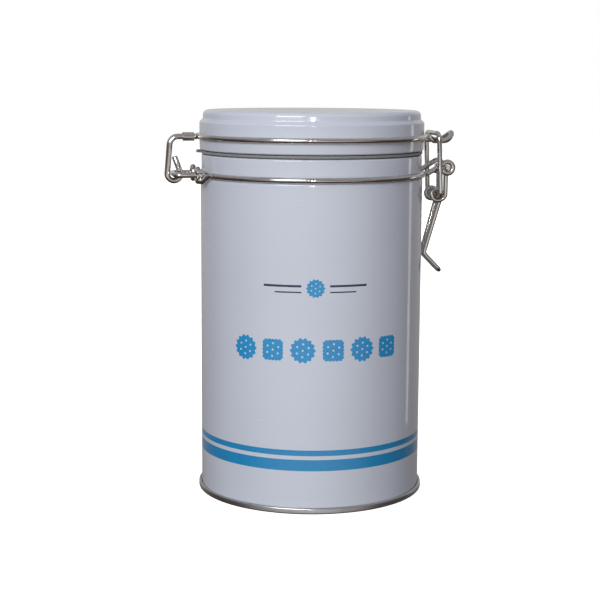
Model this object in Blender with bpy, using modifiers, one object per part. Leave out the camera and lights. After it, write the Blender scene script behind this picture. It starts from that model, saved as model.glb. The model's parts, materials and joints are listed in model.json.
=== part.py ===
"""Clip-top tin canister: a rolled tinplate body with a seamed base, a pressed lid with a liner and a seal,
and sprung wire fittings: a hinge on the -X side and an over-centre bail latch on the +X side.

Frame: origin at the centre of the base on the floor, +Z up, the hinge pin and the latch pivots along Y.
Blender units are metres, so every size below is written in millimetres times MM.
"""

import math

import bpy
from mathutils import Vector

MM = 0.001
SEGMENTS = 40  # round the tin
GAP = 0.3 * MM  # between pieces that touch

# Tinplate body and base
BODY_RADIUS = 52.75 * MM
BODY_WALL = 0.3 * MM
NECK_RADIUS = BODY_RADIUS - 0.45 * MM
RIM_TOP = 161.3 * MM
RIM_CURL = 0.9 * MM
SEAM_RADIUS = BODY_RADIUS + 1.45 * MM
SEAM_HEIGHT = 2.9 * MM
END_WALL = 0.35 * MM
PANEL_RISE = SEAM_HEIGHT + 0.3 * MM
PANEL_STEP = 0.6 * MM

# Lid, liner and seal
LID_RADIUS = BODY_RADIUS + 0.45 * MM
LID_TOP_RADIUS = LID_RADIUS - 1.8 * MM
LID_HEIGHT = 18.7 * MM  # from its curled edge to the top
LID_SHOULDER_DROP = 5.6 * MM  # from the top to the step
LID_CORNER = 2.2 * MM
LID_WALL = 0.35 * MM
LID_CURL = 0.9 * MM
LINER_WALL = 0.4 * MM
LINER_DEPTH = 4.1 * MM
LINER_RADIUS = NECK_RADIUS - 2 * RIM_CURL - 1.2 * MM  # clear of the tin's curled mouth
SEAL_THICKNESS = 1.2 * MM
SEAL_TAB_LENGTH = 2.5 * MM
SEAL_TAB_ANGLE = 168.0

# Wire fittings
RING_WIRE = 2.5 * MM
LATCH_WIRE = 2.3 * MM
BODY_RING_RADIUS = BODY_RADIUS + 0.35 * MM
BODY_RING_BELOW_RIM = 9.3 * MM
LID_RING_RADIUS = LID_RADIUS + 1.0 * MM
LID_RING_ABOVE_EDGE = 6.4 * MM
PIN_CLEARANCE = 0.3 * MM

# Hinge
HINGE_REACH = 12.6 * MM  # from the body ring's centre line to the pin
YOKE_HALF_WIDTH = 10.0 * MM
HOOK_CLEARANCE = 0.6 * MM
ARM_LEAN = 4.9
STUB_LENGTH = 7.6 * MM
FERRULE_LENGTH = 5.2 * MM
FERRULE_WALL = 0.4 * MM

# Latch
PIVOT_REACH = 11.4 * MM  # from the body ring's centre line to the lever's pivot
PIVOT_RISE = 2.7 * MM  # above the body ring
CRANK_IN = 3.9 * MM  # from the pivot to the link's lower pins
CRANK_DOWN = 13.1 * MM
HANDLE_HALF_WIDTH = 3.6 * MM  # at the coils
TAB_HALF_WIDTH = 2.2 * MM
LEAD_IN = 130  # degrees over which the leg winds in to the coil
KNEE_REACH = 2.55 * MM  # from the body wall to the handle's knee
KNEE_DROP = 28.6 * MM  # below the link's lower pins
TAB_OUT = 8.3 * MM
TAB_DROP = 8.6 * MM
LINK_BAR_REACH = 5.2 * MM  # from the lid ring's centre line to the link's bar
LINK_BAR_RISE = 3.55 * MM  # above the tongue's saddle
TONGUE_HALF_WIDTH = 6.2 * MM
TONGUE_REACH = 14.3 * MM  # from the lid ring's centre line to the tip
TONGUE_DIP = 2.05 * MM
TONGUE_LIFT = 3.5 * MM

# What follows from them
SEAL_BOTTOM = RIM_TOP + GAP
LID_EDGE = SEAL_BOTTOM + SEAL_THICKNESS + GAP
LID_TOP = LID_EDGE + LID_HEIGHT
BODY_RING_Z = RIM_TOP - BODY_RING_BELOW_RIM
LID_RING_Z = LID_EDGE + LID_RING_ABOVE_EDGE
HINGE_PIN = Vector((-BODY_RING_RADIUS - HINGE_REACH, 0, BODY_RING_Z))
HOOK_Y = RING_WIRE / 2 + GAP / 2
HOOK_RADIUS = RING_WIRE + HOOK_CLEARANCE
EYE_RADIUS = LATCH_WIRE / 2 + PIN_CLEARANCE + RING_WIRE / 2
COIL_RADIUS = LATCH_WIRE + PIN_CLEARANCE
LOOP_RADIUS = RING_WIRE + PIN_CLEARANCE
LOOP_SPREAD = LOOP_RADIUS + 3.6 * MM  # from the yoke's leg to where the ring leaves its groove
LOOP_X = -BODY_RING_RADIUS - RING_WIRE  # just behind the yoke's inner bar
LEVER_Y = HANDLE_HALF_WIDTH + LATCH_WIRE + GAP
EYE_Y = LEVER_Y + LATCH_WIRE / 2 + GAP + RING_WIRE / 2
LINK_Y = EYE_Y + RING_WIRE / 2 + GAP + LATCH_WIRE / 2
PIVOT = Vector((BODY_RING_RADIUS + PIVOT_REACH, 0, BODY_RING_Z + PIVOT_RISE))
LINK_PIN = PIVOT - Vector((CRANK_IN, 0, CRANK_DOWN))
LINK_BAR = Vector((LID_RING_RADIUS + LINK_BAR_REACH, 0, LID_RING_Z - TONGUE_DIP + LINK_BAR_RISE))
KNEE = Vector((BODY_RADIUS + KNEE_REACH, 0, LINK_PIN.z - KNEE_DROP))

WHITE = ("white_lacquer", (0.62, 0.62, 0.66), 0.0, 0.25)
TINPLATE = ("bare_tinplate", (0.55, 0.55, 0.54), 1.0, 0.3)
SILICONE = ("grey_silicone", (0.36, 0.37, 0.38), 0.0, 0.45)
NICKEL = ("nickel_wire", (0.6, 0.57, 0.53), 1.0, 0.15)


def clear_scene():
    for thing in list(bpy.data.objects):
        bpy.data.objects.remove(thing, do_unlink=True)


def material(recipe):
    name, colour, metallic, roughness = recipe
    found = bpy.data.materials.get(name)
    if found:
        return found
    made = bpy.data.materials.new(name)
    made.use_nodes = True
    shader = made.node_tree.nodes["Principled BSDF"]
    shader.inputs["Base Color"].default_value = (*colour, 1)
    shader.inputs["Metallic"].default_value = metallic
    shader.inputs["Roughness"].default_value = roughness
    return made


def add(name, data, recipe, parent=None):
    made = bpy.data.objects.new(name, data)
    data.materials.append(material(recipe))
    TIN.objects.link(made)
    if parent:
        made.parent = parent
        made.matrix_parent_inverse = parent.matrix_world.inverted()
    return made


def axis_empty(name, place, parent=None):
    """An empty on a joint's axis, for the pieces that turn about it."""
    empty = bpy.data.objects.new(name, None)
    empty.empty_display_size = 10 * MM
    TIN.objects.link(empty)
    empty.location = place
    if parent:
        empty.parent = parent
        empty.location = place - parent.location
    bpy.context.view_layer.update()
    return empty


def arc(centre, radius, start, end, steps):
    """Points (r, z) on an arc of a profile, both ends included, angles in degrees."""
    angles = [math.radians(start + (end - start) * i / steps) for i in range(steps + 1)]
    return [(centre[0] + radius * math.cos(a), centre[1] + radius * math.sin(a)) for a in angles]


def pressed_shell(name, profile, wall, recipe, parent=None):
    """A turned sheet: the profile is its outer face, running down the outer side, and the wall grows inwards."""
    mesh = bpy.data.meshes.new(name)
    mesh.from_pydata([(r, 0, z) for r, z in profile], [(i, i + 1) for i in range(len(profile) - 1)], [])
    shell = add(name, mesh, recipe, parent)
    screw = shell.modifiers.new("turn", "SCREW")
    screw.steps = screw.render_steps = SEGMENTS
    screw.use_merge_vertices = True
    screw.merge_threshold = 0.01 * MM
    thicken = shell.modifiers.new("wall", "SOLIDIFY")
    thicken.thickness = wall
    thicken.offset = -1
    thicken.use_even_offset = True
    return shell


def wire(name, points, diameter, recipe, parent=None, closed=False):
    curve = bpy.data.curves.new(name, "CURVE")
    curve.dimensions = "3D"
    curve.bevel_depth = diameter / 2
    curve.bevel_resolution = 2
    curve.use_fill_caps = not closed
    spline = curve.splines.new("POLY")
    spline.points.add(len(points) - 1)
    for point, place in zip(spline.points, points):
        point.co = (*place, 1)
    spline.use_cyclic_u = closed
    return add(name, curve, recipe, parent)


def flat_ring(name, outlines, thickness, recipe, place, turn=(0, 0, 0), parent=None):
    """A flat plate between two closed outlines, centred on place."""
    curve = bpy.data.curves.new(name, "CURVE")
    curve.dimensions = "2D"
    curve.fill_mode = "BOTH"
    curve.extrude = thickness / 2
    for outline in outlines:
        spline = curve.splines.new("POLY")
        spline.points.add(len(outline) - 1)
        for point, (x, y) in zip(spline.points, outline):
            point.co = (x, y, 0, 1)
        spline.use_cyclic_u = True
    made = add(name, curve, recipe, None)
    made.location = place
    made.rotation_euler = turn
    bpy.context.view_layer.update()
    if parent:
        made.parent = parent
        made.matrix_parent_inverse = parent.matrix_world.inverted()
    return made


def rounded(corners, step=18):
    """A route through corners, each (place, bend radius), with an arc at every inner corner."""
    points = [corners[0][0]]
    for (before, _), (corner, radius), (after, _) in zip(corners, corners[1:], corners[2:]):
        back, ahead = (before - corner).normalized(), (after - corner).normalized()
        half = back.angle(ahead) / 2
        centre = corner + (back + ahead).normalized() * radius / math.sin(half)
        start = corner + back * radius / math.tan(half) - centre
        end = corner + ahead * radius / math.tan(half) - centre
        count = max(2, math.ceil(math.degrees(start.angle(end)) / step))
        points += [centre + start.slerp(end, i / count).normalized() * radius for i in range(count + 1)]
    return points + [corners[-1][0]]


def in_plane(centre, radius, start, end, y_start, y_end, step=22.5):
    """An arc seen from the front (x right, z up), sliding from one y to another."""
    count = math.ceil(abs(end - start) / step)
    points = []
    for i in range(count + 1):
        angle = math.radians(start + (end - start) * i / count)
        y = y_start + (y_end - y_start) * i / count
        points.append(Vector((centre.x + radius * math.cos(angle), y, centre.z + radius * math.sin(angle))))
    return points


def tangent(centre, radius, point, arriving):
    """The angle at which a clockwise turn is met by a straight run from a point, or left for it."""
    away = point - centre
    swing = math.degrees(math.acos(radius / away.length))
    heading = math.degrees(math.atan2(away.z, away.x))
    return heading - swing if arriving else heading + swing


def ring_bend(ring_radius, leg_y, bend_radius, side):
    """The bend from a ring to a leg that leaves it along X: its points, and the ring's angle where it starts."""
    across = leg_y + bend_radius
    along = math.sqrt((ring_radius + bend_radius) ** 2 - across**2)
    off = math.degrees(math.atan2(across, along))
    points = []
    for i in range(6):
        angle = math.radians(180 + off + (90 - off) * i / 5)
        x, y = along + bend_radius * math.cos(angle), across + bend_radius * math.sin(angle)
        points.append((side * x, y))
    return points, off if side > 0 else 180 - off


def ring_arc(radius, z, start, end, step=6):
    count = math.ceil(abs(end - start) / step)
    angles = [math.radians(start + (end - start) * i / count) for i in range(count + 1)]
    return [Vector((radius * math.cos(a), radius * math.sin(a), z)) for a in angles]


def mirrored(points):
    return [Vector((p.x, -p.y, p.z)) for p in reversed(points)]


def make_body():
    groove = (BODY_RING_RADIUS, BODY_RING_Z)
    groove_radius = RING_WIRE / 2 + GAP
    shoulder = BODY_RING_Z - 2.8 * MM
    curl = (NECK_RADIUS - RIM_CURL, RIM_TOP - RIM_CURL)
    profile = arc(curl, RIM_CURL, 240, 0, 6)
    profile += [(NECK_RADIUS, BODY_RING_Z + 2 * MM)]
    profile += arc(groove, groove_radius, 128, 232, 4)
    profile += [(BODY_RADIUS - 0.15 * MM, shoulder + 0.8 * MM), (BODY_RADIUS, shoulder)]
    profile += [(BODY_RADIUS, SEAM_HEIGHT + 2 * MM), (BODY_RADIUS, END_WALL + 2 * GAP)]
    pressed_shell("body_wall", profile, BODY_WALL, WHITE)

    outer, inner = SEAM_RADIUS, BODY_RADIUS - BODY_WALL - END_WALL - GAP
    bend = 0.7 * MM
    profile = [(BODY_RADIUS + GAP, SEAM_HEIGHT - 0.1 * MM)]
    profile += arc((outer - bend, SEAM_HEIGHT - bend), bend, 90, 0, 2)
    profile += arc((outer - bend, bend), bend, 0, -90, 2)
    profile += arc((inner + bend, bend), bend, -90, -180, 2)
    profile += arc((inner - bend, PANEL_RISE - bend), bend, 0, 90, 2)
    step = inner - 4 * MM
    profile += [(step, PANEL_RISE), (step - PANEL_STEP, PANEL_RISE - PANEL_STEP), (0, PANEL_RISE - PANEL_STEP)]
    pressed_shell("base_end", profile, END_WALL, TINPLATE)


def make_lid(turning):
    top = LID_TOP - LID_SHOULDER_DROP
    bead = (LID_RING_RADIUS, LID_RING_Z)
    curl = (LID_RADIUS - 0.15 * MM - LID_CURL, LID_EDGE + LID_CURL)
    profile = [(0, LID_TOP)]
    profile += arc((LID_TOP_RADIUS - LID_CORNER, LID_TOP - LID_CORNER), LID_CORNER, 90, 8, 4)
    profile += [(LID_TOP_RADIUS + 0.15 * MM, top + 2 * MM), (LID_TOP_RADIUS + 0.45 * MM, top + 1.2 * MM)]
    profile += [(LID_RADIUS - 0.35 * MM, top + 0.3 * MM), (LID_RADIUS, top - 0.9 * MM)]
    profile += [(LID_RADIUS, LID_RING_Z + 2 * MM)]
    profile += arc(bead, RING_WIRE / 2 + GAP, 130, 230, 4)
    profile += [(LID_RADIUS, LID_RING_Z - 2 * MM)]
    profile += arc(curl, LID_CURL, 0, -230, 6)
    pressed_shell("lid_shell", profile, LID_WALL, WHITE, turning)

    flange = curl[0] - LID_CURL - GAP
    corner = 0.6 * MM
    panel = LID_EDGE - LINER_DEPTH
    profile = [(flange, LID_EDGE), (LINER_RADIUS, LID_EDGE)]
    profile += arc((LINER_RADIUS - corner, panel + corner), corner, 0, -90, 3)
    profile += [(LINER_RADIUS - 4 * MM, panel), (LINER_RADIUS - 5 * MM, panel + 0.8 * MM), (0, panel + 0.8 * MM)]
    pressed_shell("lid_liner", profile, LINER_WALL, TINPLATE, turning)

    inner, outer = LINER_RADIUS + GAP + 0.1 * MM, NECK_RADIUS + 0.2 * MM
    hole = [(inner * math.cos(a), inner * math.sin(a)) for a in turns(72)]
    rim = []
    for angle in turns(72):
        off = abs(math.degrees(angle) - SEAL_TAB_ANGLE)
        reach = outer + SEAL_TAB_LENGTH * max(0.0, 1 - (off / 4) ** 2) ** 0.5
        rim.append((reach * math.cos(angle), reach * math.sin(angle)))
    middle = Vector((0, 0, SEAL_BOTTOM + SEAL_THICKNESS / 2))
    flat_ring("lid_seal", [rim, hole], SEAL_THICKNESS, SILICONE, middle, parent=turning)


def turns(count):
    return [2 * math.pi * i / count for i in range(count)]


def tongue_height(x):
    """The tongue dips under the link's bar, then lifts to a tip that keeps the bar in."""
    inner = LID_RING_RADIUS + 1 * MM
    dip = min(1.0, max(0.0, (x - inner) / (3.4 * MM)))
    start = LINK_BAR.x + 3.8 * MM
    tip = LID_RING_RADIUS + TONGUE_REACH
    lift = max(0.0, (x - start) / (tip - start))
    return LID_RING_Z - TONGUE_DIP * dip * dip * (3 - 2 * dip) + TONGUE_LIFT * lift**2.2


def make_lid_ring(turning):
    """One wire: a hook round the hinge pin, an arm up to the lid, half the ring, half the tongue, and the same back."""
    start, end = 20, -180 - ARM_LEAN
    hook = in_plane(HINGE_PIN, HOOK_RADIUS, start, end, HOOK_Y, HOOK_Y)
    lean = math.radians(start)
    stub = hook[0] + STUB_LENGTH * Vector((-math.sin(lean), 0, math.cos(lean)))
    bend, leave = ring_bend(LID_RING_RADIUS, HOOK_Y, 1.8 * MM, -1)
    rise = LID_RING_Z - hook[-1].z
    corner = hook[-1] + Vector((rise * math.tan(math.radians(ARM_LEAN)), 0, rise))
    join = Vector((bend[-1][0], HOOK_Y, LID_RING_Z))
    arm = rounded([(hook[-1], 0), (corner, 4 * MM), (join, 0)])[1:-1]
    half = [stub, *hook, *arm]
    half += [Vector((x, y, LID_RING_Z)) for x, y in reversed(bend)]
    out, arrive = ring_bend(LID_RING_RADIUS, TONGUE_HALF_WIDTH, 2.2 * MM, 1)
    half += ring_arc(LID_RING_RADIUS, LID_RING_Z, leave, arrive)[1:-1]
    plan = list(out)
    round_x = LID_RING_RADIUS + TONGUE_REACH - TONGUE_HALF_WIDTH
    plan += [(out[-1][0] + (round_x - out[-1][0]) * i / 7, TONGUE_HALF_WIDTH) for i in range(1, 8)]
    for i in range(1, 7):
        angle = math.radians(90 - 90 * i / 6)
        plan.append((round_x + TONGUE_HALF_WIDTH * math.cos(angle), TONGUE_HALF_WIDTH * math.sin(angle)))
    half += [Vector((x, y, tongue_height(x))) for x, y in plan]
    wire("lid_ring", half[:-1] + mirrored(half), RING_WIRE, NICKEL, turning)

    wide, high = HOOK_Y + RING_WIRE / 2 + GAP, RING_WIRE / 2 + GAP
    outlines = [stadium(wide + FERRULE_WALL, high + FERRULE_WALL), stadium(wide, high)]
    middle = Vector((bend[-1][0] - GAP - FERRULE_LENGTH / 2, 0, LID_RING_Z))
    turn = (math.pi / 2, 0, math.pi / 2)
    flat_ring("ring_ferrule", outlines, FERRULE_LENGTH, NICKEL, middle, turn, turning)


def stadium(half_width, half_height):
    """An outline with round ends."""
    straight = half_width - half_height
    points = []
    for side in (1, -1):
        for i in range(7):
            angle = math.radians(-90 + 30 * i)
            x = straight + half_height * math.cos(angle)
            points.append((side * x, side * half_height * math.sin(angle)))
    return points


def make_body_rings():
    """Two half rings. Each wraps one leg of the hinge yoke and ends in an eye for the lever's pin."""
    leg_x, loop = LOOP_X, LOOP_RADIUS
    out, arrive = ring_bend(BODY_RING_RADIUS, EYE_Y, 3 * MM, 1)
    root = Vector((out[-1][0], EYE_Y, BODY_RING_Z))
    met = tangent(PIVOT, EYE_RADIUS, Vector((root.x, 0, root.z)), arriving=True)
    eye = in_plane(PIVOT, EYE_RADIUS, met % 360, -150, EYE_Y, EYE_Y)
    half = []
    for i in range(17):
        angle = math.radians(20 + 250 * i / 16)
        half.append(Vector((leg_x, YOKE_HALF_WIDTH + loop * math.cos(angle), BODY_RING_Z + loop * math.sin(angle))))
    # From the leg's loop, which ends under the leg, the wire climbs back into the groove.
    leave = 180 - math.degrees(math.asin((YOKE_HALF_WIDTH + LOOP_SPREAD) / BODY_RING_RADIUS))
    low = half[-1]
    groove = ring_arc(BODY_RING_RADIUS, BODY_RING_Z, leave, arrive)
    for t in (0.175, 0.35, 0.48, 0.61, 0.74, 0.87):
        climb = max(0.0, (t - 0.35) / 0.65)
        ease = climb * climb * (3 - 2 * climb)
        reach = low.xy.length + (BODY_RING_RADIUS - low.xy.length) * t
        turn = math.atan2(low.y, low.x) * (1 - t) + math.radians(leave) * t
        half.append(Vector((reach * math.cos(turn), reach * math.sin(turn), low.z + loop * ease)))
    half += groove[:-1]
    half += [Vector((x, y, BODY_RING_Z)) for x, y in out]
    half += eye
    wire("body_ring_rear", half, RING_WIRE, NICKEL)
    wire("body_ring_front", mirrored(half), RING_WIRE, NICKEL)


def make_yoke():
    """A closed wire loop: its inner bar lies in the groove, its outer bar is the hinge pin."""
    inner = math.sqrt(BODY_RING_RADIUS**2 - (YOKE_HALF_WIDTH - 2 * MM) ** 2)
    y, z = YOKE_HALF_WIDTH, BODY_RING_Z
    bar = ring_arc(BODY_RING_RADIUS, z, 180 - math.degrees(math.asin(7.5 * MM / BODY_RING_RADIUS)), 180, 3)
    corners = [(bar[0], 0), (Vector((-inner, y, z)), 1.6 * MM), (Vector((HINGE_PIN.x, y, z)), 2.5 * MM)]
    corners += [(Vector((HINGE_PIN.x, 0, z)), 0)]
    half = list(reversed(bar[1:])) + rounded(corners)
    wire("hinge_yoke", half[:-1] + mirrored(half)[:-1], RING_WIRE, NICKEL, closed=True)


def make_lever(turning):
    """One wire: pin, leg, a coil for the link's pin, handle and finger tab, and the same back."""
    left = tangent(LINK_PIN, COIL_RADIUS, KNEE, arriving=False) - 360
    coil = []
    for i in range(18):
        turned = left * i / 17
        reach = COIL_RADIUS + (CRANK_IN - COIL_RADIUS) * max(0.0, 1 + turned / LEAD_IN) ** 2
        y = LEVER_Y + (HANDLE_HALF_WIDTH - LEVER_Y) * i / 17
        coil += in_plane(LINK_PIN, reach, turned, turned - 1e-9, y, y)[:1]
    pin_end = PIVOT + Vector((0, EYE_Y + RING_WIRE / 2, 0))
    half = rounded([(pin_end, 0), (PIVOT + Vector((0, LEVER_Y, 0)), 1.5 * MM), (coil[0], 0)])[:-1]
    half += coil
    tip = KNEE + Vector((TAB_OUT, 0, -TAB_DROP))
    along = (tip - KNEE).normalized()
    knee = KNEE + Vector((0, TAB_HALF_WIDTH, 0))
    round_start = tip - along * TAB_HALF_WIDTH + Vector((0, TAB_HALF_WIDTH, 0))
    half += rounded([(coil[-1], 0), (knee, 2.5 * MM), (round_start, 0)])[1:]
    for i in range(1, 6):
        angle = math.radians(90 * i / 5)
        sideways = Vector((0, TAB_HALF_WIDTH * math.cos(angle), 0))
        half.append(tip - along * TAB_HALF_WIDTH * (1 - math.sin(angle)) + sideways)
    wire("latch_lever", half[:-1] + mirrored(half), LATCH_WIRE, NICKEL, turning)


def make_link(turning):
    """One wire: a pin into the lever's coil, a leg up to the bar over the lid ring's tongue, and the same back."""
    outer = Vector((0, LINK_Y, 0))
    inner_end = LINK_PIN + Vector((0, HANDLE_HALF_WIDTH - 0.6 * MM, 0))
    corners = [(inner_end, 0), (LINK_PIN + outer, 1.6 * MM), (LINK_BAR + outer, 3.6 * MM), (LINK_BAR, 0)]
    half = rounded(corners)
    wire("latch_link", half[:-1] + mirrored(half), LATCH_WIRE, NICKEL, turning)


clear_scene()
TIN = bpy.data.collections.new("clip_top_tin")
bpy.context.scene.collection.children.link(TIN)
lid_axis = axis_empty("lid_axis", HINGE_PIN)
lever_axis = axis_empty("lever_axis", PIVOT)
link_axis = axis_empty("link_axis", LINK_PIN, lever_axis)
make_body()
make_body_rings()
make_yoke()
make_lid(lid_axis)
make_lid_ring(lid_axis)
make_lever(lever_axis)
make_link(link_axis)
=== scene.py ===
"""Clip-top biscuit tin: lacquered body and lid, bare seamed base, wire hinge and bail latch."""

import json
import math

import bpy
from mathutils import Matrix, Vector


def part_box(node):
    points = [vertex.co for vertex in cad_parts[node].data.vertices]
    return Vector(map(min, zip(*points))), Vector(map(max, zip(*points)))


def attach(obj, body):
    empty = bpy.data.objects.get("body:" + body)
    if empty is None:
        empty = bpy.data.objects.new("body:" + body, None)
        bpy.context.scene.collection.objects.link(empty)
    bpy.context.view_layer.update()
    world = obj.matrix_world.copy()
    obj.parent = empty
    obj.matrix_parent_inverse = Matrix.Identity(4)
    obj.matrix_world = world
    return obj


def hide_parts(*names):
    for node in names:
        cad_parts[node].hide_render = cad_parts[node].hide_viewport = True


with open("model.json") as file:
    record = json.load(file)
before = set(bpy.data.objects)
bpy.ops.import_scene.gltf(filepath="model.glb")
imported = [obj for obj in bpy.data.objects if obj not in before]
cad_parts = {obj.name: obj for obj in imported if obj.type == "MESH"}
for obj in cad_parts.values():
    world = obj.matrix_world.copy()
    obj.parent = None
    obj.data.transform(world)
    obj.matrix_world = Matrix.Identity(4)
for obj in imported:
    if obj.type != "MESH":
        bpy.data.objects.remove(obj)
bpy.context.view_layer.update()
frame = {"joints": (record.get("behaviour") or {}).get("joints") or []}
bpy.ops.object.select_all(action="DESELECT")


# ---- Body wall ----
# The tube is one sheet of tinplate, lacquered white and printed while flat, then rolled and
# welded down the back. Its mouth is necked in and curled over, and a groove below the curl holds
# the body's wire rings.
MM = 0.001
GAP = 0.3 * MM  # left between pieces that touch on the real tin
TURN_STEPS = 192
BODY_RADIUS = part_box("body_wall")[1].x
RIM_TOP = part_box("body_wall")[1].z
NECK_RADIUS = BODY_RADIUS - 0.45 * MM
BODY_SHEET = 0.3 * MM
RING_RADIUS = BODY_RADIUS + 0.35 * MM
RING_WIRE = 2.5 * MM
JOINTS = {joint["name"]: Vector(joint["pos_m"]) for joint in frame["joints"]}
HINGE_PIN = JOINTS["lid_hinge"]
PIVOT = JOINTS["lever_pivot"]
LINK_PIN = JOINTS["link_pivot"]
RING_Z = HINGE_PIN.z
WELD_ANGLE = math.radians(81.5)
LILAC_WHITE = (0.68, 0.725, 0.815)
LILAC_SHADE = tuple(0.965 * part for part in LILAC_WHITE)
PRINT_BLUE = (0.016, 0.295, 0.62)
BROAD_BAND = (20.05 * MM, 25.3 * MM)
NARROW_BAND = (27.1 * MM, 29.75 * MM)
BARE_MARGIN = 1.9 * MM


def swing(centre, radius, start, end, y=(0, 0), step=10):
    """Points on an arc in x and z, which slides from one y to the other on the way."""
    count = math.ceil(abs(end - start) / step)
    points = []
    for i in range(count + 1):
        angle = math.radians(start + (end - start) * i / count)
        slide = y[0] + (y[1] - y[0]) * i / count
        x, z = centre.x + radius * math.cos(angle), centre.z + radius * math.sin(angle)
        points.append(Vector((x, slide, z)))
    return points


def bent(corners, step=9):
    """A route through corners, each (place, bend radius), rounded at each inner one."""
    points = [corners[0][0]]
    for (before, _), (corner, radius), (after, _) in zip(corners, corners[1:], corners[2:]):
        back, ahead = (before - corner).normalized(), (after - corner).normalized()
        half = back.angle(ahead) / 2
        centre = corner + (back + ahead).normalized() * radius / math.sin(half)
        first = corner + back * radius / math.tan(half) - centre
        last = corner + ahead * radius / math.tan(half) - centre
        count = max(2, math.ceil(math.degrees(first.angle(last)) / step))
        arc = [first.slerp(last, i / count).normalized() for i in range(count + 1)]
        points += [centre + outward * radius for outward in arc]
    return points + [corners[-1][0]]


def side(radius, height):
    return Vector((radius, 0, height))


def finish_mesh(name, body, slot, *finishes, sharp=38):
    """Names the piece, puts its place in its mesh, and gives it its finishes and its body."""
    piece = bpy.context.object
    piece.name = piece.data.name = name
    bpy.ops.object.transform_apply(location=True, rotation=True, scale=True)
    piece.data.materials.clear()
    for finish in finishes:
        piece.data.materials.append(finish)
    bpy.ops.object.shade_smooth_by_angle(angle=math.radians(sharp))
    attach(piece, body)
    piece.select_set(False)
    return piece


def turned(line, closed=False):
    """Draws a line edge by edge, down the outer side, and spins it round the tin's axis."""
    bpy.ops.mesh.primitive_plane_add(size=MM, enter_editmode=True, location=(0, 0, 0))
    bpy.ops.mesh.merge(type="CENTER")
    bpy.ops.transform.translate(value=line[0])
    for here, there in zip(line, line[1:] + line[:1] * closed):
        bpy.ops.mesh.extrude_region_move(TRANSFORM_OT_translate={"value": there - here})
    bpy.ops.mesh.select_all(action="SELECT")
    bpy.ops.mesh.remove_doubles(threshold=0.001 * MM)
    bpy.ops.mesh.spin(steps=TURN_STEPS, angle=2 * math.pi, center=(0, 0, 0), axis=(0, 0, 1))
    bpy.ops.mesh.select_all(action="SELECT")
    bpy.ops.mesh.remove_doubles(threshold=0.004 * MM)
    bpy.ops.mesh.normals_make_consistent(inside=False)
    bpy.ops.object.mode_set(mode="OBJECT")
    step = next(b - a for a, b in zip(line, line[1:]) if min(a.x, b.x) > MM)
    spot = next((a + b) / 2 for a, b in zip(line, line[1:]) if min(a.x, b.x) > MM)
    faces = bpy.context.object.data.polygons
    nearest = min(faces, key=lambda face: (face.center - spot).length)
    if nearest.normal.dot(Vector((-step.z, 0, step.x))) < 0:
        bpy.context.object.data.flip_normals()


def thicken(wall):
    """Gives a turned sheet its thickness, inwards. Its inner face takes the second finish."""
    sheet = bpy.context.object.modifiers.new("sheet", "SOLIDIFY")
    sheet.thickness = wall
    sheet.offset = -1
    sheet.use_even_offset = True
    sheet.material_offset = 1
    bpy.ops.object.modifier_apply(modifier="sheet")


class Finish:
    """A material and the few node steps that the finishes share."""

    def __init__(self, name, metallic=0.0, **sockets):
        self.material = bpy.data.materials.new(name)
        self.material.use_nodes = True
        self.tree = self.material.node_tree
        self.shader = self.tree.nodes["Principled BSDF"]
        self.shader.inputs["Metallic"].default_value = metallic
        for socket, value in sockets.items():
            self.shader.inputs[socket.replace("_", " ")].default_value = value

    def node(self, kind, inputs=(), **settings):
        made = self.tree.nodes.new("ShaderNode" + kind)
        for setting, value in settings.items():
            setattr(made, setting, value)
        for socket, value in dict(inputs).items():
            if isinstance(value, bpy.types.NodeSocket):
                self.tree.links.new(value, made.inputs[socket])
            else:
                made.inputs[socket].default_value = value
        return made

    def place(self, output="Object"):
        return self.node("TexCoord").outputs[output]

    def parts(self, vector):
        return self.node("SeparateXYZ", {0: vector}).outputs

    def math(self, operation, a, b=0.0):
        return self.node("Math", {0: a, 1: b}, operation=operation).outputs[0]

    def noise(self, vector, scale, detail=3.0, stretch=(1, 1, 1)):
        mapped = self.node("Mapping", {"Vector": vector, "Scale": stretch}).outputs[0]
        inputs = {"Vector": mapped, "Scale": scale, "Detail": detail}
        return self.node("TexNoise", inputs).outputs[0]

    def spread(self, value, low, high, start=0.3, stop=0.7):
        """The value, which lies from start to stop, moved to lie from low to high."""
        inputs = {"Value": value, 1: start, 2: stop, 3: low, 4: high}
        return self.node("MapRange", inputs).outputs[0]

    def mix(self, amount, a, b):
        mixed = self.node("Mix", data_type="RGBA")
        for socket, value in zip((0, 6, 7), (amount, a, b)):
            if isinstance(value, bpy.types.NodeSocket):
                self.tree.links.new(value, mixed.inputs[socket])
            else:
                mixed.inputs[socket].default_value = value if socket == 0 else (*value, 1)
        return mixed.outputs[2]

    def band(self, value, low, high, soft):
        """1 where the value lies from low to high, with edges this soft."""
        rise = self.spread(value, 0, 1, low - soft, low + soft)
        fall = self.spread(value, 1, 0, high - soft, high + soft)
        return self.math("MULTIPLY", rise, fall)

    def bump(self, height, distance, strength=1.0, normal=None):
        inputs = {"Height": height, "Distance": distance, "Strength": strength}
        if normal:
            inputs["Normal"] = normal
        return self.node("Bump", inputs).outputs[0]

    def wire_up(self, **outputs):
        for socket, value in outputs.items():
            self.tree.links.new(value, self.shader.inputs[socket.replace("_", " ")])
        return self.material


def lacquer_surface(finish, place):
    """What all lacquered sheet shows: orange peel, slightly uneven gloss and fine rubs."""
    peel = finish.noise(place, 520, 2)
    ripple = finish.noise(place, 45, 2)
    rubs = finish.noise(place, 900, 4, (0.05, 0.05, 1))
    gloss = finish.spread(ripple, 0.15, 0.23)
    rubbed = finish.math("MULTIPLY", finish.spread(rubs, 0, 1, 0.62, 0.75), 0.12)
    surface = finish.bump(peel, 0.006 * MM, 0.35)
    surface = finish.bump(ripple, 0.03 * MM, 0.3, surface)
    return finish.math("ADD", gloss, rubbed), surface


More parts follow.
